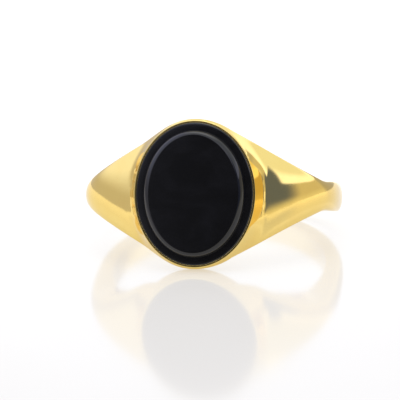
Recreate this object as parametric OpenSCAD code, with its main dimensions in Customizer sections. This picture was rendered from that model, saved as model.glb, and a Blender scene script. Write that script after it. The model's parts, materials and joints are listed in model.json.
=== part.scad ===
/* [Finger and shank] */
// Inside diameter of the finger hole
finger_d = 19.4; // [16:0.1:22]
// Metal between the finger hole and the outside of the hoop
shank_wall = 1.55; // [1.45:0.05:2.2]
// Width of the hoop along the finger
shank_width = 2.6; // [2.2:0.1:3]
// How far the hoop's outside rounds over towards its edges
shank_crown = 0.5; // [0.4:0.05:1]

/* [Head and shoulders] */
// Thickness of gold left under the middle of the stone's seat
floor_t = 0.6; // [0.5:0.05:0.7]
// How full the shoulders are: 2 is a plain ellipse, more is squarer
shoulder_fullness = 3.3; // [2.6:0.1:3.6]
// Height of the shoulder line over the finger axis, carried through to the middle of the head
shoulder_h = 10.5; // [10.5:0.05:10.8]
// Fall of the shoulders' width per millimetre sideways, seen from the front
shoulder_taper = 0.57; // [0.5:0.01:0.6]
// How far the shoulders round over towards their edges
shoulder_crown = 0.75; // [0.4:0.05:0.9]
// How far the sides of the head slope in from its rim to the finger hole
head_undercut = 0.8; // [0.2:0.1:1.2]
// Thickness of the solder in each of the two seams between head and shank
solder_t = 0.1; // [0.05:0.01:0.2]

/* [Collar] */
// Height of the collar from its seat to its rim
collar_h = 1.25; // [1.1:0.05:1.6]
// Thickness of the collar's lip
lip_t = 0.2; // [0.12:0.02:0.3]
// How far the lip is rubbed over the stone's edge
lip_over = 0.08; // [0.05:0.01:0.12]
// How much wider the collar is at its foot than at its rim, to each side
flare_side = 0.5; // [0.2:0.05:0.6]
// The same at the ends of the oval
flare_end = 0.12; // [0.05:0.01:0.3]

/* [Stone] */
// Width of the stone across the finger
stone_w = 10; // [8:0.5:10]
// Length of the stone along the finger
stone_l = 12; // [10:0.5:12]
// Height of the stone's table over the collar's rim
table_rise = 0.7; // [0.5:0.05:1]
// Height of the flat ledge round the table over the rim
ledge_rise = 0.05; // [0.03:0.01:0.15]
// Width of the ledge, in from the stone's edge
ledge_w = 0.75; // [0.5:0.05:1]
// How much of that width slopes down under the collar's lip
edge_bevel = 0.16; // [0.14:0.01:0.3]
// Width of the rounded bevel from the ledge up to the table, at the stone's sides
bevel_side = 0.52; // [0.3:0.02:0.8]
// The same at the ends of the stone
bevel_end = 0.38; // [0.3:0.02:0.8]
// Width of the ring that the stone sits on
bearer_w = 0.5; // [0.4:0.05:0.8]
// Height of the ring that the stone sits on
bearer_h = 0.5; // [0.35:0.05:0.6]

/* [Hidden] */

bore_r = finger_d / 2;
seat_h = bore_r + floor_t;
rim_h = seat_h + collar_h;

// Angle taken up by the solder in a seam
seam_span = solder_t / bore_r * 180 / PI;
// How far under the collar's rim the stone's upright edge ends
girdle_drop = 0.11;
girdle_h = rim_h - girdle_drop;

// Half sizes of the ovals, [across the finger, along it]
stone_oval = [stone_w / 2, stone_l / 2];
rim_oval = stone_oval + [lip_t, lip_t] / 2;
foot_oval = rim_oval + [flare_side, flare_end];

// Where the shoulders' edge, seen from the front, leaves the collar's foot as a tangent
tangent_ratio = shoulder_taper * pow(foot_oval[0] / foot_oval[1], 2);
tangent_z = foot_oval[1] / sqrt(1 + pow(tangent_ratio * foot_oval[1] / foot_oval[0], 2));
tangent_x = tangent_ratio * tangent_z;

// The hoop's outside is half an ellipse, shank_crown high and shank_edge to each side
shank_r = bore_r + shank_wall;
shank_edge = shank_width / 2;
shank_centre = shank_r - shank_crown;

// Comfort chamfer on the edges of the finger hole
comfort = 0.2;
// The loft starts this far inside the finger hole, which is drilled afterwards
drill_margin = 0.4;
// How far the tools that cut a recess or a hole reach past it
cut_margin = 1;
// The head's edge starts this far above the collar's seat, which is then cut flat
head_margin = 0.1;
// Angles from the middle of the head where its section has come to the shoulders' roundness, and
// where that starts to run into the hoop's
crown_front = 25;
crown_side = 40;
// Sideways distance where the shoulders' straight edges start to run into the hoop's
taper_from = 9.6;
// How far outside the rim, as a share of its size, the shoulders start to climb to it
sweep_reach = 0.2;
// Distance from the middle plane over which they come to climb all the way
sweep_width = 1.9;
// The climb stops this far under the rim
sweep_gap = 0.04;

// The ring lies on its side, on the foot of the collar and the rounded back of the hoop. The
// tangent of its tilt is the root of a quadratic, which puts both of them at one height.
rest_span = seat_h + shank_centre;
rest_square = pow(rest_span, 2) - pow(shank_crown, 2);
rest_half = rest_span * foot_oval[1];
rest_constant = pow(foot_oval[1], 2) - pow(shank_edge, 2);
rest_tilt = atan((rest_half - sqrt(pow(rest_half, 2) - rest_square * rest_constant)) / rest_square);

// Sides of every oval, steps across the hoop and the shoulders, degrees between the head's
// sections and steps up the stone's rounded bevel
oval_sides = 96;
crown_points = 16;
section_step = 5;
bevel_steps = 4;

function mix(a, b, t) = a + (b - a) * t;
// Height of the ledge's sloping edge at distance d in from the stone's edge
function bevel_h(d) = mix(girdle_h, rim_h + ledge_rise, d / edge_bevel);
function ease(t) = let (s = min(max(t, 0), 1)) s * s * (3 - 2 * s);

// The head's outside on its middle plane, at angle a from the middle of the head, as [sideways
// distance, height over the finger axis]: a squared ellipse, which meets the hoop at 90 degrees
function outline(a) =
    [sin(a), cos(a)] / pow(
        pow(abs(sin(a)) / shank_r, shoulder_fullness) + pow(cos(a) / shoulder_h, shoulder_fullness),
        1 / shoulder_fullness
    );

// Direction straight out of that outline at its point p
function outward(p) =
    let (n = [
        sign(p[0]) * pow(abs(p[0]) / shank_r, shoulder_fullness - 1) / shank_r,
        pow(p[1] / shoulder_h, shoulder_fullness - 1) / shoulder_h,
    ]) n / norm(n);

// Half width of the head along the finger, seen from the front at sideways distance x
function half_width(x) =
    x < tangent_x
        ? foot_oval[1] * sqrt(1 - pow(x / foot_oval[0], 2))
        : let (straight = tangent_z - shoulder_taper * (x - tangent_x))
            mix(straight, shank_edge, ease((x - taper_from) / (shank_centre - taper_from)));

// How far the section at angle a rounds over towards its edges. Under the collar it stays high
// enough for the collar's foot.
function crown(a) =
    abs(a) < crown_side
        ? mix(shoulder_h - seat_h - head_margin, shoulder_crown, ease(abs(a) / crown_front))
        : mix(shoulder_crown, shank_crown, ease((abs(a) - crown_side) / (90 - crown_side)));

// Share of the way from the plain shoulder up to the collar's rim, at sideways distance x and
// distance z from the middle plane. The middle stays low, which leaves the collar's wall bare.
function sweep(x, z) =
    let (out = (norm([x / rim_oval[0], z / rim_oval[1]]) - 1) / sweep_reach)
        pow(1 - min(max(out, 0), 1), 2) * (1 - exp(-pow(z / sweep_width, 4)));

// A point of the outside, at distance z from the middle plane, where the outline's point is p
// and the section has rounded over by fall. Each point is [sideways, towards the back, up].
function skin(p, fall, z) =
    let (
        q = p - fall * outward(p),
        lift = max(rim_h - sweep_gap - q[1], 0) * sweep(q[0], z)
    ) [q[0], -q[1] - lift, z];

// One cross-section of the ring at angle a
function section(a) =
    let (
        p = outline(a),
        edge = p - crown(a) * outward(p),
        w = half_width(abs(edge[0])),
        inner = w - head_undercut * ease((w - shank_edge) / (foot_oval[1] - shank_edge)),
        side = [
            for (s = [[bore_r - drill_margin, inner - comfort - drill_margin], [bore_r + comfort, inner]])
                [s[0] * sin(a), -s[0] * cos(a), s[1]]
        ]
    ) concat(
        side,
        [for (i = [0:crown_points]) let (t = 90 - 180 * i / crown_points)
            skin(p, crown(a) * (1 - cos(t)), w * sin(t))],
        [for (i = [1:-1:0]) [side[i][0], side[i][1], -side[i][2]]]
    );

// A solid from a list of loops with the same number of points, closed with a cap at each end
module loft(loops) {
    n = len(loops[0]);
    last = len(loops) - 1;
    polyhedron(
        points = [for (loop = loops) each loop],
        faces = concat(
            [[for (i = [0:n - 1]) i]],
            [for (k = [0:last - 1], i = [0:n - 1]) let (j = (i + 1) % n)
                each [
                    [k * n + i, (k + 1) * n + i, (k + 1) * n + j],
                    [k * n + i, (k + 1) * n + j, k * n + j],
                ]],
            [[for (i = [n - 1:-1:0]) last * n + i]]
        )
    );
}

// The head and both shoulders, before the finger hole is drilled
module shoulders() {
    steps = round(180 / section_step);
    loft([for (k = [0:steps]) section(180 * k / steps - 90)]);
}

// The hoop's section, flat inside and gently rounded outside, turned through an angle from +X
module hoop(angle) {
    rotate_extrude(angle = angle, $fn = 180)
        polygon(concat(
            [[bore_r, -shank_edge + comfort], [bore_r + comfort, -shank_edge]],
            [for (i = [0:crown_points]) let (t = 180 * i / crown_points - 90)
                [shank_centre + shank_crown * cos(t), shank_edge * sin(t)]],
            [[bore_r + comfort, shank_edge], [bore_r, shank_edge - comfort]]
        ));
}

// Ovals stacked outwards from the finger: each level is [half sizes, height]
function oval(level) =
    [for (i = [0:oval_sides - 1]) let (t = 360 * i / oval_sides)
        [level[0][0] * cos(t), -level[1], level[0][1] * sin(t)]];

module ovals(levels) {
    loft([for (level = levels) oval(level)]);
}

module finger_hole() {
    cylinder(r = bore_r, h = 3 * foot_oval[1], center = true, $fn = 128);
}

// The collar filled in, as the recess it stands in, open upwards
module collar_recess() {
    clear = rim_h + cut_margin;
    ovals([[foot_oval, seat_h], [rim_oval, rim_h], [rim_oval, clear]]);
    translate([-tangent_x, -clear, -foot_oval[1] - cut_margin])
        cube([2 * tangent_x, clear - seat_h, 2 * (foot_oval[1] + cut_margin)]);
}

module lie_down() {
    rotate([-rest_tilt, 0, 0])
        children();
}

module shank() {
    color("gold")
        lie_down()
            rotate([0, 0, seam_span])
                hoop(180 - 2 * seam_span);
}

module head() {
    color("gold")
        lie_down()
            difference() {
                shoulders();
                finger_hole();
                collar_recess();
            }
}

module shank_solder() {
    color("goldenrod")
        lie_down()
            for (from = [0, 180 - seam_span])
                rotate([0, 0, from])
                    hoop(seam_span);
}

module bezel_collar() {
    lip_oval = stone_oval - [lip_over, lip_over];
    color("gold")
        lie_down()
            difference() {
                ovals([[foot_oval, seat_h], [rim_oval, rim_h]]);
                ovals([
                    [stone_oval, seat_h - cut_margin],
                    [stone_oval, girdle_h],
                    [lip_oval, bevel_h(lip_over)],
                    [lip_oval, rim_h + cut_margin],
                ]);
            }
}

module stone_bearer() {
    bed_oval = stone_oval - [bearer_w, bearer_w];
    color("gold")
        lie_down()
            difference() {
                ovals([[stone_oval, seat_h], [stone_oval, seat_h + bearer_h]]);
                ovals([[bed_oval, seat_h - cut_margin], [bed_oval, rim_h]]);
            }
}

module setting_cement() {
    bed_oval = stone_oval - [bearer_w, bearer_w];
    color("dimgray")
        lie_down()
            ovals([[bed_oval, seat_h], [bed_oval, seat_h + bearer_h]]);
}

module onyx_stone() {
    edge_oval = stone_oval - [edge_bevel, edge_bevel];
    ledge_oval = stone_oval - [ledge_w, ledge_w];
    table_oval = ledge_oval - [bevel_side, bevel_end];
    color("black")
        lie_down()
            ovals([
                [stone_oval, seat_h + bearer_h],
                [stone_oval, girdle_h],
                [edge_oval, rim_h + ledge_rise],
                for (i = [0:bevel_steps]) let (t = 90 * i / bevel_steps)
                    [mix(ledge_oval, table_oval, 1 - cos(t)), rim_h + mix(ledge_rise, table_rise, sin(t))],
            ]);
}

shank();
head();
shank_solder();
bezel_collar();
stone_bearer();
setting_cement();
onyx_stone();
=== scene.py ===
"""Looks of the signet ring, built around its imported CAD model.

Every length is in metres. The ring's own frame has the finger hole's axis as Z, and the head
towards -Y; at rest that frame leans back about X, because the ring lies on its side.
"""

import json
import math

import bpy
import numpy as np
from mathutils import Matrix, Vector


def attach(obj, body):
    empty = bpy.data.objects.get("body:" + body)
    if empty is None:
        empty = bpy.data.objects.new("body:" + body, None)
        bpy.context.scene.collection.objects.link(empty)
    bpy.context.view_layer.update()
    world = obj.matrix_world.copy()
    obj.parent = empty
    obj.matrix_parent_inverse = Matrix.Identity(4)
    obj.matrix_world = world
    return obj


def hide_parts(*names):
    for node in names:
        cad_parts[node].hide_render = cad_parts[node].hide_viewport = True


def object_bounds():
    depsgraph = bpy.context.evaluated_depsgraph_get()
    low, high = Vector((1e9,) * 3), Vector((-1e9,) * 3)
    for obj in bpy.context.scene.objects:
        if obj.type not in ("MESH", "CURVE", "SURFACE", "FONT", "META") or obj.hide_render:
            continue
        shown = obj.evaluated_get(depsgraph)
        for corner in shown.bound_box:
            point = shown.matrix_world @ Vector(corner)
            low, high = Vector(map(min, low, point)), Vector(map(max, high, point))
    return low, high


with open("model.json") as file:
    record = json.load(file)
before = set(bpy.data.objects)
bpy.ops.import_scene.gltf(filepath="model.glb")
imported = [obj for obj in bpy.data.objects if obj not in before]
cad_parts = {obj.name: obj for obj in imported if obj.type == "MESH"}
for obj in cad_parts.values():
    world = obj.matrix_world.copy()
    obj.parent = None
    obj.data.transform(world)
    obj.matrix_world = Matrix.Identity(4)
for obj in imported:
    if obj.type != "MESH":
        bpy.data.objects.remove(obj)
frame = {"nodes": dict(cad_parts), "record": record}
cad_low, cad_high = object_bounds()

MM = 0.001

# How finely the curved surfaces are cut
OVAL_SIDES = 360
HEAD_SECTIONS = 361
SECTION_POINTS = 97
HOOP_STEPS = 240
HOOP_ROUND_POINTS = 49
BEVEL_STEPS = 16


# ---------------------------------------------------------------- sizes, from the frame

MOUNT = next(m for m in frame["record"]["mounts"] if m["name"] == "finger_hole")
TILT = math.atan2(MOUNT["axis"][1], MOUNT["axis"][2])
REST = Matrix.Rotation(-TILT, 3, "X")


def ring_box(node):
    """Lowest and highest corner of a CAD node in the ring's own frame."""
    corners = np.array([v.co for v in frame["nodes"][node].data.vertices]) @ np.array(REST)
    return corners.min(0), corners.max(0)


collar_low, collar_high = ring_box("bezel_collar")
stone_low, stone_high = ring_box("onyx_stone")
shank_high = ring_box("shank")[1]

BORE_R = MOUNT["dims"]["r_mm"] * MM
SHANK_R = shank_high[0]
SHANK_EDGE = shank_high[2]
SEAT_H = -collar_high[1]
RIM_H = -collar_low[1]
TABLE_H = -stone_low[1]
STONE_FOOT_H = -stone_high[1]
FOOT_OVAL = np.array([collar_high[0], collar_high[2]])
STONE_OVAL = np.array([stone_high[0], stone_high[2]])


# ---------------------------------------------------------------- sizes, of the design

LIP_T = 0.2 * MM
LIP_OVER = 0.08 * MM
LIP_ROUND = 0.04 * MM
SHANK_CROWN = 0.5 * MM
SHANK_CENTRE = SHANK_R - SHANK_CROWN
COMFORT = 0.2 * MM
SEAM = 0.1 * MM
RIM_OVAL = STONE_OVAL + LIP_T / 2

FULLNESS = 3.3
SHOULDER_H = 10.5 * MM
TAPER = 0.57
TAPER_FROM = 9.6 * MM
CROWN = 0.75 * MM
# Degrees from the head's middle where the shoulder's crown is full, and where it starts to
# change into the hoop's
CROWN_FRONT = 25
CROWN_SIDE = 40
# The head's edge starts this far above the collar's seat
HEAD_MARGIN = 0.15 * MM
UNDERCUT = 0.8 * MM
SWEEP_REACH = 0.2
SWEEP_WIDTH = 1.9 * MM
SWEEP_GAP = 0.04 * MM
# Inside the rim the head falls this steeply, from this far in
TUCK_SLOPE = 3
TUCK_START = 0.04 * MM
# Solder fillet round the collar's foot
FILLET_W = 0.14 * MM
FILLET_RISE = 0.01 * MM

GIRDLE_DROP = 0.11 * MM
LEDGE_RISE = 0.05 * MM
LEDGE_W = 0.75 * MM
EDGE_BEVEL = 0.16 * MM
BEVEL_SIDE = 0.52 * MM
BEVEL_END = 0.38 * MM
EDGE_ROUND = 0.04 * MM
# Two more ovals inside the table's edge, which keep its shading flat
TABLE_INSETS = (0.01 * MM, 0.5 * MM)

tangent_ratio = TAPER * (FOOT_OVAL[0] / FOOT_OVAL[1]) ** 2
TANGENT_Z = FOOT_OVAL[1] / math.sqrt(1 + (tangent_ratio * FOOT_OVAL[1] / FOOT_OVAL[0]) ** 2)
TANGENT_X = tangent_ratio * TANGENT_Z


# ---------------------------------------------------------------- the head's shape

def ease(t):
    """Smooth step from 0 to 1 as t goes from 0 to 1."""
    s = np.clip(t, 0, 1)
    return s * s * (3 - 2 * s)


def outline(a):
    """The head's outside on its middle plane at angle a from its middle: sideways, height."""
    s, c = np.sin(a), np.cos(a)
    reach = (np.abs(s) / SHANK_R) ** FULLNESS + (np.maximum(c, 0) / SHOULDER_H) ** FULLNESS
    size = reach ** (-1 / FULLNESS)
    return s * size, c * size


def outward(x, h):
    """Direction straight out of the outline at its point (x, h)."""
    nx = np.sign(x) * (np.abs(x) / SHANK_R) ** (FULLNESS - 1) / SHANK_R
    nh = (np.maximum(h, 0) / SHOULDER_H) ** (FULLNESS - 1) / SHOULDER_H
    n = np.hypot(nx, nh)
    return nx / n, nh / n


def half_width(x):
    """Half width of the head along the finger at sideways distance x."""
    x = np.abs(x)
    oval = FOOT_OVAL[1] * np.sqrt(np.clip(1 - (x / FOOT_OVAL[0]) ** 2, 0, 1))
    straight = TANGENT_Z - TAPER * (x - TANGENT_X)
    run_in = ease((x - TAPER_FROM) / (SHANK_CENTRE - TAPER_FROM))
    straight = straight + (SHANK_EDGE - straight) * run_in
    return np.where(x < TANGENT_X, oval, straight)


def crown(a):
    """How far the section at angle a rounds over towards its edges."""
    d = np.degrees(np.abs(a))
    low = SHOULDER_H - SEAT_H - HEAD_MARGIN
    front = low + (CROWN - low) * ease(d / CROWN_FRONT)
    side = CROWN + (SHANK_CROWN - CROWN) * ease((d - CROWN_SIDE) / (90 - CROWN_SIDE))
    return np.where(d < CROWN_SIDE, front, side)


def sweep(x, z):
    """Share of the way up from the plain shoulder to the collar's rim."""
    out = (np.hypot(x / RIM_OVAL[0], z / RIM_OVAL[1]) - 1) / SWEEP_REACH
    return (1 - np.clip(out, 0, 1)) ** 2 * (1 - np.exp(-(z / SWEEP_WIDTH) ** 4))


def skin(a, t):
    """Outside of the head at angle a and, across the section, at angle t from its middle.

    Inside the collar's rim it falls steeply towards the seat. It isn't cut flat there, so it
    runs on through the collar and the stone, which hide it.
    """
    x, h = outline(a)
    nx, nh = outward(x, h)
    drop = crown(a)
    w = half_width(x - drop * nx)
    z = w * np.sin(t)
    fall = drop * (1 - np.cos(t))
    x, h = x - fall * nx, h - fall * nh
    h = h + np.maximum(RIM_H - SWEEP_GAP - h, 0) * sweep(x, z)
    beyond = (np.hypot(x / FOOT_OVAL[0], z / FOOT_OVAL[1]) - 1) * FOOT_OVAL[0]
    h = h + np.maximum(SEAT_H + FILLET_RISE - h, 0) * (1 - ease(beyond / FILLET_W))
    inside = (1 - np.hypot(x / RIM_OVAL[0], z / RIM_OVAL[1])) * RIM_OVAL[0]
    ceiling = np.maximum(RIM_H - SWEEP_GAP - TUCK_SLOPE * (inside - TUCK_START), SEAT_H)
    h = np.where(inside > 0, np.minimum(h, ceiling), h)
    return x, -h, z, w


# ---------------------------------------------------------------- meshes

def to_rest(points):
    """Points of the ring's own frame, as it lies."""
    return np.asarray(points) @ np.array(REST).T


def make_piece(name, points, faces, sharp_angle=35):
    """A closed mesh, smooth but for its sharp edges."""
    mesh = bpy.data.meshes.new(name)
    mesh.from_pydata([tuple(p) for p in to_rest(points)], [], faces)
    mesh.validate()
    mesh.shade_smooth()
    mesh.set_sharp_from_angle(angle=math.radians(sharp_angle))
    piece = bpy.data.objects.new(name, mesh)
    bpy.context.scene.collection.objects.link(piece)
    return piece


def loft_faces(loops, around, closed):
    """Quads between loops of points; closed joins the last loop to the first, or caps both."""
    faces = []
    steps = loops if closed else loops - 1
    for k in range(steps):
        this, after = k * around, (k + 1) % loops * around
        for i in range(around):
            j = (i + 1) % around
            faces.append((this + i, after + i, after + j, this + j))
    if not closed:
        faces.append(tuple(range(around)))
        faces.append(tuple(range((loops - 1) * around, loops * around))[::-1])
    return faces


def comfort_edge(steps=4):
    """Quarter round from the finger hole's wall out to its side: [outwards, inset]."""
    turn = np.linspace(0, math.pi / 2, steps + 1)
    return np.stack([COMFORT * (1 - np.cos(turn)), COMFORT * (1 - np.sin(turn))], 1)


def make_head():
    """The head with both shoulders, lofted through cross-sections round the finger hole."""
    angles = np.radians(np.linspace(-90, 90, HEAD_SECTIONS))
    across = np.radians(np.linspace(90, -90, SECTION_POINTS))
    edge = comfort_edge()
    loops = []
    for a in angles:
        x, y, z, w = skin(a, across)
        inner = w - UNDERCUT * ease((w - SHANK_EDGE) / (FOOT_OVAL[1] - SHANK_EDGE))
        radius = BORE_R + edge[:, 0]
        side = np.stack([radius * math.sin(a), -radius * math.cos(a), inner - edge[:, 1]], 1)
        loops += [side, np.stack([x, y, z], 1), side[::-1] * [1, 1, -1]]
    around = 2 * len(edge) + len(across)
    faces = loft_faces(len(angles), around, False)
    return make_piece("head_polished", np.concatenate(loops), faces)


def hoop_points(first, last, steps):
    """The hoop's section, flat inside and gently domed outside, turned from angle to angle."""
    edge = comfort_edge()
    turn = np.linspace(math.pi / 2, -math.pi / 2, HOOP_ROUND_POINTS)
    outer = np.stack([SHANK_CENTRE + SHANK_CROWN * np.cos(turn), SHANK_EDGE * np.sin(turn)], 1)
    side = np.stack([BORE_R + edge[:, 0], SHANK_EDGE - edge[:, 1]], 1)
    section = np.concatenate([side, outer, side[::-1] * [1, -1]])
    loops = []
    for a in np.linspace(first, last, steps + 1):
        loops.append(np.stack([
            section[:, 0] * math.sin(a),
            -section[:, 0] * math.cos(a),
            section[:, 1],
        ], 1))
    return np.concatenate(loops), loft_faces(steps + 1, len(section), False)


def make_shank():
    """The hoop behind the finger, from one layer of solder to the other."""
    span = SEAM / BORE_R
    points, faces = hoop_points(math.pi / 2 + span, 3 * math.pi / 2 - span, HOOP_STEPS)
    return make_piece("shank_polished", points, faces)


def make_seams():
    """The two thin layers of solder between shank and head, as one piece."""
    span = SEAM / BORE_R
    points, faces = hoop_points(math.pi / 2, math.pi / 2 + span, 2)
    other = hoop_points(3 * math.pi / 2 - span, 3 * math.pi / 2, 2)[0]
    shifted = [tuple(i + len(points) for i in f) for f in faces]
    return make_piece("solder_seams", np.concatenate([points, other]), faces + shifted)


def soften(profile, radii, steps=5, most=0.45):
    """A profile of (inset, height) points with its corners rounded to the radii.

    A round takes up no more than the share most of the side to either hand.
    """
    done = [np.array(profile[0])]
    for k in range(1, len(profile) - 1):
        corner = np.array(profile[k])
        before = np.array(profile[k - 1]) - corner
        after = np.array(profile[k + 1]) - corner
        if radii[k] == 0:
            done.append(corner)
            continue
        u, v = before / np.linalg.norm(before), after / np.linalg.norm(after)
        half = math.acos(np.clip(u @ v, -1, 1)) / 2
        room = most * min(np.linalg.norm(before), np.linalg.norm(after))
        back = min(radii[k] / math.tan(half), room)
        for s in np.linspace(0, 1, steps + 1):
            done.append(corner + back * ((1 - s) ** 2 * u + s ** 2 * v))
    done.append(np.array(profile[-1]))
    return done


def oval_loops(profile, half_sizes):
    """Ovals round the head's middle, each inset from the half sizes: across, along, height."""
    turn = np.linspace(0, 2 * math.pi, OVAL_SIDES, endpoint=False)
    return np.concatenate([
        np.stack([
            (half_sizes[0] - across) * np.cos(turn),
            np.full(OVAL_SIDES, -height),
            (half_sizes[1] - along) * np.sin(turn),
        ], 1)
        for across, along, height in profile
    ])


def make_stone():
    """The stone: a girdle, a flat ledge and a rounded bevel up to a raised flat table."""
    ledge_h = RIM_H + LEDGE_RISE
    edge = soften(
        [(0, STONE_FOOT_H), (0, RIM_H - GIRDLE_DROP), (EDGE_BEVEL, ledge_h), (LEDGE_W, ledge_h)],
        [0, EDGE_ROUND, EDGE_ROUND, 0],
    )
    levels = [(d, d, h) for d, h in edge]
    for turn in np.linspace(0, math.pi / 2, BEVEL_STEPS + 1)[1:]:
        inset, rise = 1 - math.cos(turn), math.sin(turn)
        levels.append((
            LEDGE_W + BEVEL_SIDE * inset,
            LEDGE_W + BEVEL_END * inset,
            ledge_h + (TABLE_H - ledge_h) * rise,
        ))
    across, along, height = levels[-1]
    levels += [(across + inset, along + inset, height) for inset in TABLE_INSETS]
    points = oval_loops(levels, STONE_OVAL)
    return make_piece("onyx_polished", points, loft_faces(len(levels), OVAL_SIDES, False), 50)


def make_collar():
    """The flared collar with the lip rubbed over the stone."""
    bevel_slope = (GIRDLE_DROP + LEDGE_RISE) / EDGE_BEVEL
    over = RIM_H - GIRDLE_DROP + bevel_slope * LIP_OVER
    profile = [
        (0, SEAT_H),
        (0, RIM_H),
        (LIP_T / 2 + LIP_OVER, RIM_H),
        (LIP_T / 2 + LIP_OVER, over),
        (LIP_T / 2, RIM_H - GIRDLE_DROP),
        (LIP_T / 2, SEAT_H),
    ]
    levels = soften(profile, [0, LIP_ROUND, LIP_ROUND, 0, 0, 0])
    flare = FOOT_OVAL - RIM_OVAL
    levels = [
        (d - flare[0] * out, d - flare[1] * out, h)
        for k, (d, h) in enumerate(levels)
        for out in [(RIM_H - h) / (RIM_H - SEAT_H) if k == 0 else 0]
    ]
    points = oval_loops(levels, RIM_OVAL)
    return make_piece("collar_polished", points, loft_faces(len(levels), OVAL_SIDES, True), 50)


# ---------------------------------------------------------------- materials

class Nodes:
    """Short forms for building a material or world from nodes."""

    def __init__(self, owner):
        owner.use_nodes = True
        self.tree = owner.node_tree
        self.tree.nodes.clear()

    def add(self, kind, inputs=None, **settings):
        """A node of a kind; inputs are constants or another node's outputs."""
        node = self.tree.nodes.new(kind)
        for name, value in settings.items():
            setattr(node, name, value)
        for name, value in (inputs or {}).items():
            if isinstance(value, bpy.types.NodeSocket):
                self.tree.links.new(value, node.inputs[name])
            else:
                node.inputs[name].default_value = value
        return node

    def position(self):
        """Place on the object, in metres."""
        return self.add("ShaderNodeTexCoord").outputs["Object"]

    def math(self, operation, a, b=0.0, c=0.0):
        node = self.add("ShaderNodeMath", {0: a, 1: b, 2: c}, operation=operation)
        return node.outputs[0]

    def span(self, value, low, high, out_low=0, out_high=1):
        """Takes value smoothly from low..high to out_low..out_high."""
        node = self.add("ShaderNodeMapRange", {
            "Value": value, "From Min": low, "From Max": high, "To Min": out_low, "To Max": out_high,
        }, interpolation_type="SMOOTHSTEP")
        return node.outputs["Result"]

    def noise(self, where, scale=1.0, detail=2.0, roughness=0.5, distortion=0.0):
        node = self.add("ShaderNodeTexNoise", {
            "Vector": where, "Scale": scale, "Detail": detail,
            "Roughness": roughness, "Distortion": distortion,
        })
        return node.outputs["Fac"]

    def stretched(self, where, turn, scale):
        """Coordinates turned and scaled, for marks that run one way."""
        node = self.add("ShaderNodeMapping", {"Vector": where, "Rotation": turn, "Scale": scale})
        return node.outputs["Vector"]

    def mix(self, share, a, b):
        """Colour a where share is 0 and colour b where it is 1."""
        node = self.add("ShaderNodeMix", {0: share, 6: a, 7: b}, data_type="RGBA")
        return node.outputs[2]

    def bump(self, height, strength, distance):
        node = self.add("ShaderNodeBump", {"Height": height, "Strength": strength, "Distance": distance})
        return node.outputs["Normal"]

    def output(self, kind, shader):
        """Makes the shader the surface of the material or world."""
        out = self.add(kind)
        self.tree.links.new(shader.outputs[0], out.inputs["Surface"])

    def surface(self, settings):
        self.output("ShaderNodeOutputMaterial", self.add("ShaderNodeBsdfPrincipled", settings))


GOLD = (0.94, 0.72, 0.24)
GOLD_WORN = (0.92, 0.67, 0.21)
SOLDER = (0.9, 0.72, 0.34)
SOLDER_WORN = (0.86, 0.67, 0.31)
ONYX = (0.005, 0.005, 0.0055)
ONYX_BAND = (0.009, 0.009, 0.0105)
CEMENT = (0.11, 0.105, 0.1)
CEMENT_PALE = (0.2, 0.19, 0.175)
TABLE_TOP = (0.29, 0.29, 0.29)
TABLE_TOP_PALE = (0.31, 0.31, 0.31)
# The table top gives off some light of its own, as one lit from beneath does
TABLE_TOP_GLOW = (1, 0.955, 0.88)


def colour(r, g, b):
    """A colour with the fourth value, its alpha, that node sockets want."""
    return (r, g, b, 1.0)


def new_material(name):
    made = bpy.data.materials.new(name)
    return made, Nodes(made)


def polished_gold(name, base, worn):
    """Mirror-polished gold: soft hand-polishing waves, hairline scratches and faint tarnish."""
    made, n = new_material(name)
    where = n.position()
    waves = n.noise(where, scale=330)
    hairs = n.noise(n.stretched(where, (0.3, 0.9, 0.2), (900, 24000, 9000)))
    cross_hairs = n.noise(n.stretched(where, (1.1, -0.4, 0.8), (20000, 1100, 8000)))
    tarnish = n.noise(where, scale=260, detail=4.0, roughness=0.6)
    scratches = n.math("MAXIMUM", n.span(hairs, 0.66, 0.74), n.span(cross_hairs, 0.68, 0.76))
    n.surface({
        "Base Color": n.mix(n.span(tarnish, 0.35, 0.8), colour(*base), colour(*worn)),
        "Metallic": 1.0,
        "Roughness": n.math("MULTIPLY_ADD", scratches, 0.05, n.span(tarnish, 0.3, 0.75, 0.055, 0.1)),
        "Normal": n.bump(n.math("MULTIPLY_ADD", scratches, -0.02, waves), 1.0, 0.02 * MM),
    })
    return made


def polished_onyx():
    """Black onyx: very faint cloudy bands under a glassy polish with hairline scratches."""
    made, n = new_material("onyx")
    where = n.position()
    turned = n.stretched(where, (0.4, 0.2, 0.5), (260, 900, 420))
    bands = n.noise(turned, detail=5.0, roughness=0.6, distortion=0.6)
    hairs = n.noise(n.stretched(where, (0.2, 0.0, 0.7), (800, 9000, 26000)))
    scratches = n.span(hairs, 0.68, 0.76)
    n.surface({
        "Base Color": n.mix(n.span(bands, 0.35, 0.75), colour(*ONYX), colour(*ONYX_BAND)),
        "Roughness": n.math("MULTIPLY_ADD", scratches, 0.04, n.span(bands, 0.3, 0.7, 0.03, 0.06)),
        "Normal": n.bump(scratches, 0.03, 0.02 * MM),
        "IOR": 1.54,
    })
    return made


def set_cement():
    """Dark gritty cement."""
    made, n = new_material("cement")
    grit = n.noise(n.position(), scale=6000, detail=4.0, roughness=0.65)
    n.surface({
        "Base Color": n.mix(grit, colour(*CEMENT), colour(*CEMENT_PALE)),
        "Roughness": 0.85,
        "Normal": n.bump(grit, 0.5, 0.05 * MM),
    })
    return made


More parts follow.
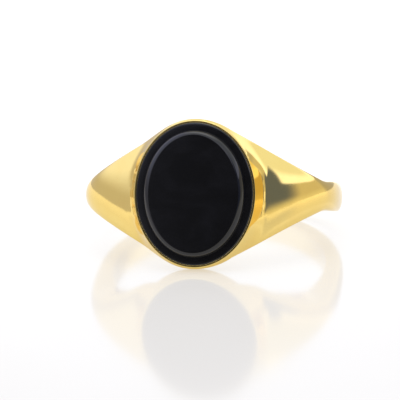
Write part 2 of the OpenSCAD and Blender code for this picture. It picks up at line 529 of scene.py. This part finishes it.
def table_top():
    """Glossy white table top, with a very slight unevenness in its polish."""
    made, n = new_material("table_top")
    cloud = n.noise(n.position(), scale=60)
    n.surface({
        "Base Color": n.mix(cloud, colour(*TABLE_TOP), colour(*TABLE_TOP_PALE)),
        "Roughness": n.span(cloud, 0.3, 0.7, 0.1, 0.14),
        "IOR": 1.4,
        "Emission Color": colour(*TABLE_TOP_GLOW),
        "Emission Strength": 0.51,
    })
    return made


# ---------------------------------------------------------------- light, floor and camera

def direction(azimuth, elevation):
    """Unit vector; azimuth 0 is -Y, where the head faces, and 90 is +X."""
    a, e = math.radians(azimuth), math.radians(elevation)
    return (math.sin(a) * math.cos(e), -math.cos(a) * math.cos(e), math.sin(e))


# Light of the studio, by direction. A white tent stands overhead, brightest along its lower edge
# and at its top. Below it is a dim room, darkest in front, with a bright sheet behind the ring.
TENT = colour(0.98, 1.02, 1.08)
TENT_EDGE = colour(1.4, 1.42, 1.7)
TENT_TOP = colour(2.4, 2.4, 2.4)
ROOM_RIGHT = colour(0.7, 0.64, 0.52)
ROOM_LEFT = colour(0.62, 0.6, 0.66)
TENT_LEFT = colour(1.1, 1.15, 1.5)
FRONT = colour(0.14, 0.17, 0.3)
LENS = colour(0.04, 0.04, 0.045)
BACK = colour(0.5, 0.48, 0.46)
SHEET = colour(1.15, 1.2, 1.3)
TABLE_GLOW = colour(0.85, 0.8, 0.65)
WHITE = colour(1, 1, 1)

# Patches of it: azimuth and elevation of the middle, how far it is full, and where it ends
FRONT_PATCH = (15, 11, 22, 55)
LENS_PATCH = (-8, 14, 12, 24)
BACK_PATCH = (152, 8, 12, 28)
TENT_OPENING = (24, 20, 9, 15)
SHEET_PATCH = (-170, 10, 9, 18)

# Steps of it upwards: the elevations where each starts and where it is done
TABLE_TO_ROOM = (0, 9)
ROOM_TO_TENT = (19.5, 21.5)
EDGE_TO_TENT = (26, 34)
LEFT_TO_TENT = (8, 26)
TENT_TO_TOP = (60, 80)
# How far left, as the direction's X, the right side's light ends and the left side's is full
RIGHT_TO_LEFT = (-0.15, -0.55)


def make_studio():
    """The light round the ring. Where the camera looks straight at it, it is plain white."""
    world = bpy.data.worlds.new("studio")
    bpy.context.scene.world = world
    n = Nodes(world)
    looking = n.add("ShaderNodeTexCoord").outputs["Generated"]
    parts = n.add("ShaderNodeSeparateXYZ", {0: looking})
    height = parts.outputs["Z"]

    def towards(azimuth, elevation, full, end):
        """1 within full degrees of a direction, 0 beyond end degrees."""
        along = n.add("ShaderNodeVectorMath", {
            0: looking, 1: direction(azimuth, elevation),
        }, operation="DOT_PRODUCT").outputs["Value"]
        return n.span(along, math.cos(math.radians(end)), math.cos(math.radians(full)))

    def rise(low, high):
        """0 below one elevation and 1 above the other, in degrees."""
        return n.span(height, math.sin(math.radians(low)), math.sin(math.radians(high)))

    room = n.mix(towards(*FRONT_PATCH), ROOM_RIGHT, FRONT)
    room = n.mix(towards(*LENS_PATCH), room, LENS)
    tent = n.mix(rise(*EDGE_TO_TENT), TENT_EDGE, TENT)
    right = n.mix(rise(*TABLE_TO_ROOM), TABLE_GLOW, room)
    right = n.mix(towards(*BACK_PATCH), right, BACK)
    right = n.mix(rise(*ROOM_TO_TENT), right, tent)
    left = n.mix(rise(*LEFT_TO_TENT), ROOM_LEFT, TENT_LEFT)
    light = n.mix(n.span(parts.outputs["X"], *RIGHT_TO_LEFT), right, left)
    light = n.mix(towards(*TENT_OPENING), light, FRONT)
    light = n.mix(rise(*TENT_TO_TOP), light, TENT_TOP)
    light = n.mix(towards(*SHEET_PATCH), light, SHEET)
    seen = n.add("ShaderNodeLightPath").outputs["Is Camera Ray"]
    light = n.mix(seen, light, WHITE)
    n.output("ShaderNodeOutputWorld", n.add("ShaderNodeBackground", {"Color": light}))
    bpy.context.scene.view_settings.view_transform = "Standard"


FLOOR_REACH = 3.0


def make_floor():
    """A pale table top that the ring lies on."""
    mesh = bpy.data.meshes.new("table_top")
    corners = [(-1, -1), (1, -1), (1, 1), (-1, 1)]
    points = [(x * FLOOR_REACH, y * FLOOR_REACH, cad_low.z) for x, y in corners]
    mesh.from_pydata(points, [], [(0, 1, 2, 3)])
    floor = bpy.data.objects.new("table_top", mesh)
    bpy.context.scene.collection.objects.link(floor)
    mesh.materials.append(table_top())


CAMERA_FAR = 0.130
CAMERA_AZIMUTH = 9.83
CAMERA_ELEVATION = 12.26
CAMERA_ROLL = -1.69
CAMERA_LENS = 129.3
CAMERA_SENSOR = 36
CAMERA_CLIP = (0.01, 20)
# How far the camera looks past the finger hole's centre, in degrees to its left and down
CAMERA_AIM = (0.698, 0.167)


def make_camera():
    """The camera, at the distance and angles above."""
    back = Vector(direction(CAMERA_AZIMUTH, CAMERA_ELEVATION))
    right = Vector((0, 0, 1)).cross(back).normalized()
    up = back.cross(right)
    turn = Matrix((right, up, back)).transposed()
    roll = Matrix.Rotation(math.radians(CAMERA_ROLL), 3, "Z")
    aim_left = Matrix.Rotation(math.radians(CAMERA_AIM[0]), 3, "Y")
    aim_down = Matrix.Rotation(-math.radians(CAMERA_AIM[1]), 3, "X")
    aim = aim_left @ aim_down
    camera = bpy.data.objects.new("camera", bpy.data.cameras.new("camera"))
    camera.matrix_world = (turn @ roll @ aim).to_4x4()
    camera.location = back * CAMERA_FAR
    camera.data.lens = CAMERA_LENS
    camera.data.sensor_width = CAMERA_SENSOR
    camera.data.clip_start, camera.data.clip_end = CAMERA_CLIP
    bpy.context.scene.collection.objects.link(camera)
    bpy.context.scene.camera = camera


# ---------------------------------------------------------------- the whole

def finish_piece(piece, node, material):
    """Gives a piece its material in a slot, attaches it to the root body and hides the CAD node of the
    same part.
    """
    piece.data.materials.append(material)
    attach(piece, "root")
    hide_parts(node)


def dress_node(node, material):
    """Gives a CAD node that stays its better material."""
    held = frame["nodes"][node]
    held.data.materials.clear()
    held.data.materials.append(material)


make_camera()
make_studio()
make_floor()

gold = polished_gold("gold", GOLD, GOLD_WORN)
finish_piece(make_head(), "head", gold)
finish_piece(make_shank(), "shank", gold)
finish_piece(make_collar(), "bezel_collar", gold)
solder = polished_gold("solder", SOLDER, SOLDER_WORN)
finish_piece(make_seams(), "shank_solder", solder)
finish_piece(make_stone(), "onyx_stone", polished_onyx())
dress_node("stone_bearer", gold)
dress_node("setting_cement", set_cement())
